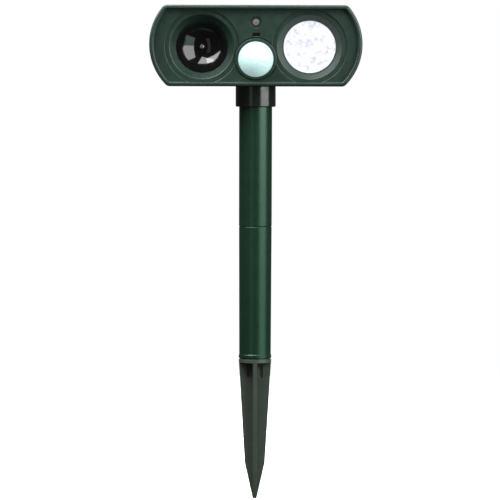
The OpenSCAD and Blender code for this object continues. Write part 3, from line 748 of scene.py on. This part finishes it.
def bezel():
    """The front panel in its raised rim, with the seats and posts behind it."""
    lip_inset, wall_inset, lip_y = 2.5, 4.1, -17
    frame_profile = [
        (wall_inset, PANEL_BACK), (wall_inset, lip_y), (lip_inset, lip_y), (lip_inset, SEAM_Y),
        (0, SEAM_Y, 0.35), (0, RIM_Y, 1.6), (RIM_W, RIM_Y, 0.6), (RIM_W, PANEL_Y, 0.5),
        (RIM_W + 1.6, PANEL_Y)]
    made = loft("bezel", head_outline, rounded(frame_profile), front())
    combine(made, [step(side * EYE_U) for side in (-1, 1)], "DIFFERENCE")

    ring_in, ring_out, ring_y = 14.1, 16, PANEL_Y - 1
    base = PANEL_BACK - 1
    ring = [(ring_in, base), (ring_in, ring_y, 0.3), (ring_out, ring_y, 0.6), (ring_out, base)]
    tools = [eye_cup(side * EYE_U) for side in (-1, 1)]
    tools.append(lathe("ring", rounded(ring), front(0, DOME_V)))
    tools += [boss(circle(3.6, 40), PANEL_BACK - 0.5, -15, front(*place)) for place in BEZEL_POSTS]
    tools += [boss(circle(2.1, 32), PANEL_BACK - 0.5, -14.9, front(*place)) for place in BOARD_POSTS]
    combine(made, tools, "UNION")

    groove_out, groove_y = ring_out + 0.8, PANEL_Y + 0.8
    groove = [
        (ring_out, PANEL_Y - 2), (ring_out, groove_y), (groove_out, groove_y),
        (groove_out, PANEL_Y - SLIT, 0.3), (17.4, PANEL_Y - SLIT), (17.4, PANEL_Y - 2)]
    tools = [funnel(side * EYE_U) for side in (-1, 1)]
    tools.append(lathe("groove", rounded(groove), front(0, DOME_V)))
    tools.append(hole(DOME_R + 0.2, RIM_Y - 2, PANEL_BACK + 1, front(0, DOME_V)))
    tools.append(pocket(circle(4.5), PANEL_Y + 0.8, PANEL_Y, front(0, DOT_V)))
    tools.append(hole(2.6, RIM_Y, PANEL_BACK + 1, front(0, DOT_V)))
    tools.append(pocket(slab(6.2, 2.6, 0.4), PANEL_BACK + 1, PANEL_Y, front(0, WINDOW_V), 0.25, 0))
    tools += [hole(1.3, -20, -14, front(*place)) for place in BEZEL_POSTS]
    tools += [hole(0.8, -20, -14, front(*place)) for place in BOARD_POSTS]
    combine(made, tools, "DIFFERENCE")
    add(made, ["front_bezel"])


# ---- Rear shell ----


def shell_blocks():
    """Everything that stands inside the rear shell."""
    root = BACK_Y + 0.5  # inside the rear wall, so that they join it
    tools = [
        block((-57, SEAM_Y + 3.2, 26.4), (57, root, 30)),  # floor and walls of the solar recess
        block((-47.5, 23.2, -15), (47.5, root, 15)),  # frame around the battery door
        block((USB_U - 11.5, 22.8, -30.3), (USB_U + 11.5, root, USB_V + 7)),  # around the USB opening
        block((-7.2, 17.8, 13), (7.2, root, 26.2))]  # box behind the keyhole
    for side in (-1, 1):
        u = USB_U + side * 4.5
        tools.append(block((u - 0.75, 10, -30.3), (u + 0.75, 21, USB_V - 2.8)))
        tools.append(boss(circle(13), root, 19.8, front(side * KNOB_U, KNOB_V)))
        tools.append(boss(circle(2.9, 40), 23.7, 16, front(side * DOOR_SCREW_U, 0)))
    for place in BEZEL_POSTS:
        tools.append(boss(circle(3.6, 40), CUP_Y + 1, -15, front(*place)))
        tools.append(boss(circle(4.4, 48), root, CUP_Y + 0.5, front(*place)))
    return tools


def knob_well(u):
    """A well for a knob, with a hole for its shaft and a seat for its sealing ring."""
    place = front(u, KNOB_V)
    return [
        pocket(circle(11, 80), 22, REAR_Y, place, 0.5, 0.4),
        hole(4.5, 21.3, 19, place),
        hole(3.15, 23, 19, place)]


def mark_places(u, first, last, count):
    """Places of the marks around a knob, from one angle to another."""
    radius = 12.6
    angles = [math.radians(first + (last - first) * i / (count - 1)) for i in range(count)]
    return [(u + radius * math.cos(a), KNOB_V + radius * math.sin(a)) for a in angles]


MODE_MARKS = mark_places(KNOB_U, 215, -35, 6)
SENSITIVITY_MARKS = mark_places(-KNOB_U, 225, -45, 10)


def shell_openings():
    """Everything that is cut out of the rear shell's outside."""
    outside = REAR_Y + 1
    tools = [
        # battery door and the bay under it
        pocket(slab(91, 26, 1.2), 25.4, REAR_Y, front(), 0.35, 0.1),
        loft("bay", slab(74, 20.8, 1), [(0, 22), (0, 26)], front()),
        # USB flap, its socket and its anchor
        pocket(slab(20, 11, 1), 25.8, REAR_Y, front(USB_U, USB_V), 0.35, 0.1),
        loft("slot", slab(11, 5.4, 1), [(0, 21), (0, 26)], front(USB_U, USB_V)),
        pocket(slab(12, 2, 0.1), 26.2, REAR_Y, front(USB_U, USB_V + 6.3), 0.1, 0),
        # keyhole and the room behind it
        hole(3.5, BACK_Y - 1, outside, front(0, KEY_V)),
        loft("neck", slab(3.6, 8.1, 1.78), [(0, BACK_Y - 1), (0, outside)], front(0, KEY_V + 2.25)),
        loft("key", slab(12, 10.8, 0.5), [(0, 19), (0, BACK_Y)], front(0, 19.6)),
        # collar, solar panel and its lead
        pocket(circle(12.6, 80), HEAD_BOTTOM + 4, HEAD_BOTTOM, upright(), 0.3, 0),
        pocket(slab(110, 39, 1.2), HEAD_Z + 28.4, HEAD_Z + HALF_H, upright(0, 4.5), 0.4, 0.1),
        hole(1.1, HEAD_Z + 25, HEAD_Z + 29, upright(26, 10))]
    for place in BEZEL_POSTS:
        tools.append(pocket(circle(3.1, 40), -12, REAR_Y, front(*place), 0.25, 0))
        tools.append(hole(1.6, -16, -11, front(*place)))
    for side in (-1, 1):
        tools.append(hole(1.35, 15, 26, front(side * DOOR_SCREW_U, 0)))
        tools += knob_well(side * KNOB_U)
    for place in MODE_MARKS + SENSITIVITY_MARKS:
        tools.append(hole(0.55, REAR_Y - 0.3, outside, front(*place)))
    return tools


def shell():
    """The rear half of the head, with a groove for the seal along its seam."""
    groove_out, groove_in, groove_y = 0.8, 1.8, SEAM_Y + 1
    profile = [
        (4.4, BACK_Y), (WALL, BACK_Y, 1.2), (WALL, SEAM_Y), (groove_in, SEAM_Y), (groove_in, groove_y),
        (groove_out, groove_y), (groove_out, SEAM_Y), (0, SEAM_Y, 0.35), (0, REAR_Y, 3), (4.5, REAR_Y)]
    made = loft("shell", head_outline, rounded(profile, 8), front())
    combine(made, shell_blocks(), "UNION")
    combine(made, shell_openings(), "DIFFERENCE")
    add(made, ["rear_shell"])


def marks(name, places):
    """White dots let into the shell around a knob."""
    mesh = bmesh.new()
    for place in places:
        dot = boss(circle(0.53, 24), REAR_Y - 0.3, REAR_Y - 0.04, front(*place), 0.08)
        mesh.from_mesh(dot.data)
        bpy.data.objects.remove(dot)
    add(piece(name, mesh), [], slot="white_plastic")


# ---- Horn, lamp and sensor ----


def facets(radius, angle, ring, flatness=2):
    """Height from 0 to 1 of the pillow at a point: rings of six, twelve, eighteen pillows and so on."""
    row = int(radius / ring + 0.5)
    across = 2 * (radius / ring - row)
    if row == 0:
        return 1 - abs(across) ** flatness
    place = angle * 6 * row / (2 * math.pi) + row / 2
    along = 2 * (place - math.floor(place)) - 1
    return (1 - abs(across) ** flatness) * (1 - abs(along) ** flatness)


def horn():
    """A deep flaring bowl; its wall follows a power curve."""
    floor_y, flat_r, thickness, steps, power = HORN_FLOOR_Y, 3, 1.2, 40, 1.75
    flange_y, flange_back, flange_r = box("speaker_horn")[0].y, -12.9, 24.5
    radii = [flat_r + (EYE_R - flat_r) * i / steps for i in range(steps + 1)]

    def depth(radius):
        return floor_y - (floor_y - flange_y) * ((radius - flat_r) / (EYE_R - flat_r)) ** power

    inside = [(0, floor_y)] + [(r, depth(r)) for r in radii]
    outside = [(r, depth(r) + thickness) for r in radii[-2::-1]] + [(0, floor_y + thickness)]
    flange = [(flange_r, flange_y), (flange_r, flange_back), (EYE_R - 0.5, flange_back)]
    made = lathe("horn", inside + flange + outside, front(-EYE_U, EYE_V), 160)
    add(made, ["speaker_horn"])


def hub():
    """The small blunt plug in the middle of the horn's floor."""
    base = HORN_FLOOR_Y
    profile = [(0, base - 4), (1.3, base - 3.9, 0.5), (2.1, base - 2.9, 0.8), (2.2, base), (0, base)]
    add(lathe("horn_hub", rounded(profile), front(-EYE_U, EYE_V), 64), ["speaker_hub"])


def lens():
    """A shallow faceted lens with a stepped flange that the retainer holds."""
    low, high = box("lamp_lens")
    flange_r = (high.x - low.x) / 2
    rise, reach, steps, pillow, ring = 1.2, 19.3, 70, 0.35, 2.9
    rim_r, rim_y, flange_y = 20, -19, -14.7

    def surface(radius, angle, depth):
        faceted = depth < rim_y + 0.1 and radius < reach - 0.1
        return pillow * (1 - facets(radius, angle, ring)) if faceted else 0

    face = [(reach * i / steps, low.y + rise * (i / steps) ** 2) for i in range(steps + 1)]
    rim = [(rim_r, rim_y), (rim_r, flange_y), (flange_r, flange_y), (flange_r, high.y), (0, high.y)]
    made = lathe("lamp_lens_lit", face + rim, front(EYE_U, EYE_V), 192, relief=surface)
    add(made, ["lamp_lens"])


def dome():
    """The motion sensor's dome, moulded in shallow lens facets."""
    low, high = box("sensor_dome")
    apex_y = low.y
    height = PANEL_Y - apex_y
    big_r = (DOME_R**2 + height**2) / (2 * height)
    steps, groove, ring = 56, 0.12, 3.4

    def cap(radius, thinner=0):
        ball = big_r - thinner
        return apex_y + big_r - math.sqrt(ball**2 - radius**2)

    def surface(radius, angle, depth):
        outside = radius < DOME_R and depth < cap(radius) + 0.05
        return groove * (1 - facets(radius, angle, ring, 8)) if outside else 0

    face = [(DOME_R * i / steps, cap(DOME_R * i / steps)) for i in range(steps + 1)]
    flange_r, bore_r, wall, inner_steps = 16.2, 12.8, 0.8, 20
    flange = [(DOME_R, PANEL_BACK), (flange_r, PANEL_BACK), (flange_r, high.y), (bore_r, high.y)]
    radii = [bore_r * i / inner_steps for i in range(inner_steps, -1, -1)]
    inner = [(radius, cap(radius, wall)) for radius in radii]
    made = lathe("sensor_dome_lens", face + flange + inner, front(0, DOME_V), 168, relief=surface)
    add(made, ["sensor_dome"])


def indicator():
    """A light pipe with a slightly crowned end and a flange behind the panel."""
    low, high = box("indicator_lens")
    pipe_r, flange_r, flange_end = 2.5, 3.4, PANEL_BACK + 0.8
    profile = [
        (0, low.y), (1.2, low.y + 0.08), (pipe_r, low.y + 0.3, 0.25), (pipe_r, PANEL_BACK),
        (flange_r, PANEL_BACK, 0.15), (flange_r, flange_end, 0.15), (pipe_r, flange_end),
        (pipe_r, high.y, 0.2), (0, high.y)]
    made = lathe("indicator_pipe", rounded(profile), front(0, DOT_V), 64)
    add(made, ["indicator_lens"], material=frosted_lens())


def window():
    """A small clear bar with a flange, over the light sensor."""
    low, high = box("light_window")
    place = front(0, WINDOW_V)
    made = boss(slab(6, 2.4, 0.4), PANEL_BACK + 0.1, low.y, place, 0.15)
    combine(made, [boss(slab(7.6, 4, 0.5), PANEL_BACK, high.y, place, 0.15)], "UNION")
    made.name = "light_window_lens"
    add(made, ["light_window"])


# ---- Pole ----


def tube_profile(z, foot_r, top_r):
    """Half section of a pole piece from its spigot down the outside to its foot."""
    joint = z + TUBE_LEN
    top = joint + SPIGOT_LEN
    return [
        (NECK_R, top), (SPIGOT_R - 0.5, top), (SPIGOT_R, top - 0.8, 0.3), (SPIGOT_R, joint),
        (top_r - 0.5, joint, 0.15), (top_r, joint - 0.6, 0.4), (foot_r, z + 0.4, 0.3), (foot_r - 0.3, z)]


def bore_profile(z):
    """Half section of the socket inside a pole piece, from its foot up to its neck."""
    neck_length = 2.5
    end = z + TUBE_LEN - neck_length
    return [(BORE_R + 0.5, z), (BORE_R, z + 0.6), (BORE_R, end), (NECK_R, end)]


def upper_tube():
    """The upper pole piece, slightly wider at its top than at its foot."""
    foot_r, top_r = 12.75, 12.85
    profile = tube_profile(POLE_JOINT, foot_r, top_r) + bore_profile(POLE_JOINT)
    add(lathe("upper_pole_tube", rounded(profile), upright(), 128), ["upper_tube"], "upper_pole")


def lower_tube():
    """The lower pole piece, with a bead around its foot instead of a plain edge."""
    foot_r, top_r = 12.3, 12.7
    bead_r, inset_r = foot_r + 0.35, foot_r - 0.5
    z = POLE_FOOT
    bead = [
        (foot_r, z + 3.7), (bead_r, z + 3.2, 0.25), (bead_r, z + 0.8, 0.25),
        (inset_r, z + 0.75, 0.1), (inset_r, z, 0.1)]
    profile = tube_profile(z, foot_r, top_r)[:-2] + bead + bore_profile(z)
    add(lathe("lower_pole_tube", rounded(profile), upright(), 128), ["lower_tube"], "lower_pole")


def collar():
    """The socket under the head and the threaded neck that reaches into it."""
    low, high = box("socket_collar")
    radius = (high.x - low.x) / 2
    chamfer, edge = 0.6, 0.3
    tube_bore, neck_r = 13.05, 12.5
    seal_out, seal_in, seal_z = 14.5, 13.3, HEAD_BOTTOM - 0.9
    spigot_end = POLE_TOP + SPIGOT_LEN + 0.5
    profile = [
        (0, spigot_end), (BORE_R, spigot_end), (BORE_R, POLE_TOP), (tube_bore, POLE_TOP),
        (tube_bore, COLLAR_Z, 0.15), (radius - chamfer, COLLAR_Z, 0.2), (radius, COLLAR_Z + chamfer, 0.3),
        (radius, HEAD_BOTTOM, edge), (seal_out, HEAD_BOTTOM), (seal_out, seal_z),
        (seal_in, seal_z), (seal_in, HEAD_BOTTOM), (neck_r, HEAD_BOTTOM), (neck_r, high.z, 0.5),
        (0, high.z)]
    add(lathe("swivel_collar", rounded(profile), upright(), 128), ["socket_collar"])


# ---- Spike ----


def fin_outline(half_t, turn):
    """A tapering blade as a solid with rounded edges, in a plane through the axis."""
    tip_z = box("ground_spike")[0].z
    half = [(12.5, -2.5), (7.8, -81), (1.8, tip_z + 1), (0.9, tip_z)]
    edge = 0.25

    def place(u, v, depth):
        across = Vector((math.cos(turn), math.sin(turn), 0))
        through = Vector((-math.sin(turn), math.cos(turn), 0))
        return (across * u + through * depth + Vector((0, 0, v))) * MM

    def outline(inset):
        right = [(max(u - inset, 0.05), v) for u, v in half]
        return right + [(-u, v) for u, v in reversed(right)]

    profile = rounded([(2 * edge, -half_t), (0, -half_t, edge), (0, half_t, edge), (2 * edge, half_t)], 3)
    return loft("fin", outline, profile, place)


def spike_pocket(angle, side, face):
    """A cutter for a blind moulding pocket in a fin's face, to one side of the axis."""
    width, height, depth = 3, 10.8, 1.1
    from_axis, below = 4.4, 9

    def place(u, v, out):
        across = Vector((math.cos(angle), math.sin(angle), 0))
        through = Vector((math.sin(angle), -math.cos(angle), 0))
        return (across * (side * from_axis + u) + through * out + Vector((0, 0, v - below))) * MM

    return pocket(slab(width, height, 0.5), face - depth, face, place, 0.2, 0.3)


def spike():
    """Crossed blades under a disc, with the spigot that the pole pushes onto."""
    fin_t, disc_r, disc_t = 3.2, 12.6, 3
    made = fin_outline(fin_t / 2, 0)
    made.name = "crossed_spike"
    top = POLE_FOOT + SPIGOT_LEN
    foot = [
        (0, -disc_t), (disc_r, -disc_t, 0.4), (disc_r, 0, 0.25), (SPIGOT_R, 0),
        (SPIGOT_R, top, 0.5), (NECK_R, top), (NECK_R, 0), (0, 0)]
    disc = lathe("disc", rounded(foot), upright(), 128)
    combine(made, [fin_outline(fin_t / 2, math.pi / 2), disc], "UNION")

    turns = [i * math.pi / 2 for i in range(4)]
    pockets = [spike_pocket(turn, side, fin_t / 2) for turn in turns for side in (-1, 1)]
    combine(made, pockets, "DIFFERENCE")
    add(made, ["ground_spike"], "spike")


# ---- Top and back ----


def solar_cover():
    """The clear sheet over the solar cells."""
    low, high = box("solar_cover")
    size = high - low
    edge = 0.25
    profile = rounded([(2 * edge, low.z), (0, low.z, edge), (0, high.z, edge), (2 * edge, high.z)])
    centre = (low + high) / 2
    made = loft("solar_glass", slab(size.x, size.y, 0.9), profile, upright(centre.x, centre.y))
    add(made, ["solar_cover"])


def battery_door():
    """A flat lid with a ribbed field between its two screws."""
    low, high = box("battery_door")
    edge, field_depth = 0.4, 0.7
    profile = rounded([(0.3, 26), (0, 26, 0.15), (0, high.y, edge), (2 * edge, high.y)])
    made = loft("battery_lid", slab(high.x - low.x, high.z - low.z, 1), profile, front())
    bosses = [boss(circle(3.4, 48), 26.2, low.y, front(side * DOOR_SCREW_U, 0), 0.1) for side in (-1, 1)]
    combine(made, bosses, "UNION")
    cutters = [pocket(slab(66, 18, 2.5), high.y - field_depth, high.y, front(), 0.25, 0.2)]
    for side in (-1, 1):
        place = front(side * DOOR_SCREW_U, 0)
        cutters.append(pocket(circle(2.8, 48), 26.4, high.y, place, 0.25, 0.1))
        cutters.append(hole(1.4, 25, 27, place))
    combine(made, cutters, "DIFFERENCE")
    rib_base = high.y - field_depth - 0.3
    ribs = [boss(slab(60, 1.1, 0.5), rib_base, high.y - 0.1, front(0, 2.6 * i), 0.3) for i in range(-2, 3)]
    combine(made, ribs, "UNION")
    add(made, ["battery_door"], "battery_door")


def knob(node, u):
    """A fluted disc with a finger grip and a white pointer, on a shaft."""
    low, high = box(node)
    place = front(u, KNOB_V)
    radius, shaft_r, face_y = 9.2, 3, 25
    edge = [(0.3, 22.3), (0, 22.6), (0, face_y, 0.6), (1.6, face_y, 0.3),
            (2, face_y + 0.25, 0.3), (3, face_y + 0.25)]
    made = loft(node + "_cap", fluted(radius, 24, 0.45), rounded(edge), place)
    grip = boss(slab(3, 16, 1.4), face_y - 0.5, high.y - 0.05, place, 0.6)
    shaft = boss(circle(shaft_r, 48), 23, low.y, place, 0.4)
    combine(made, [grip, shaft], "UNION")
    pointer_place, floor_y = front(u, KNOB_V + 4.4), high.y - 0.4
    groove = loft("groove", slab(0.84, 5.04, 0.4), [(0, floor_y), (0, high.y + 1)], pointer_place)
    combine(made, [groove], "DIFFERENCE")
    add(made, [node], node)
    pointer = boss(slab(0.8, 5, 0.39), floor_y, high.y - 0.06, pointer_place, 0.08)
    pointer.name = node + "_pointer"
    add(pointer, [], node, slot="white_plastic")


def usb_flap():
    """A soft lid with a plug on its inside and a lip for a fingernail."""
    low, high = box("usb_flap")
    centre_v = (low.z + high.z) / 2 - HEAD_Z
    place = front(USB_U, centre_v)
    made = boss(slab(high.x - low.x, high.z - low.z, 1.2), 25.9, high.y, place, 0.4)
    plug = boss(slab(7.8, 2.2, 1), 26.2, low.y, front(USB_U, USB_V), 0.2)
    combine(made, [plug], "UNION")
    scoop = pocket(slab(12, 2.6, 1.2), high.y - 0.6, high.y, front(USB_U, centre_v - 2.9), 0.2, 0.2)
    combine(made, [scoop], "DIFFERENCE")
    made.name = "usb_lid"
    add(made, ["usb_flap"], "usb_flap")


def back():
    """The battery door, the knobs with the marks around them, and the USB flap."""
    battery_door()
    marks("mode_marks", MODE_MARKS)
    marks("sensitivity_marks", SENSITIVITY_MARKS)
    knob("mode_knob", KNOB_U)
    knob("sensitivity_knob", -KNOB_U)
    usb_flap()


# ---- CAD nodes that stay as they are, with softened edges ----


def dress_cad_nodes():
    """Gives every CAD node its material and softened edges."""
    for name, node in frame["nodes"].items():
        node.data.materials.clear()
        node.data.materials.append(MATERIALS[SLOT_OF[name]])
        weld = node.modifiers.new("weld", "WELD")
        weld.merge_threshold = 0.001 * MM
        bevel = node.modifiers.new("edges", "BEVEL")
        bevel.width = 0.12 * MM
        bevel.segments = 2
        bevel.angle_limit = math.radians(40)
        bevel.harden_normals = True


world()
camera()
lights()
floor()
dress_cad_nodes()
bezel()
shell()
horn()
hub()
lens()
dome()
indicator()
window()
upper_tube()
lower_tube()
collar()
spike()
solar_cover()
back()

bpy.context.scene.view_settings.view_transform = "Standard"
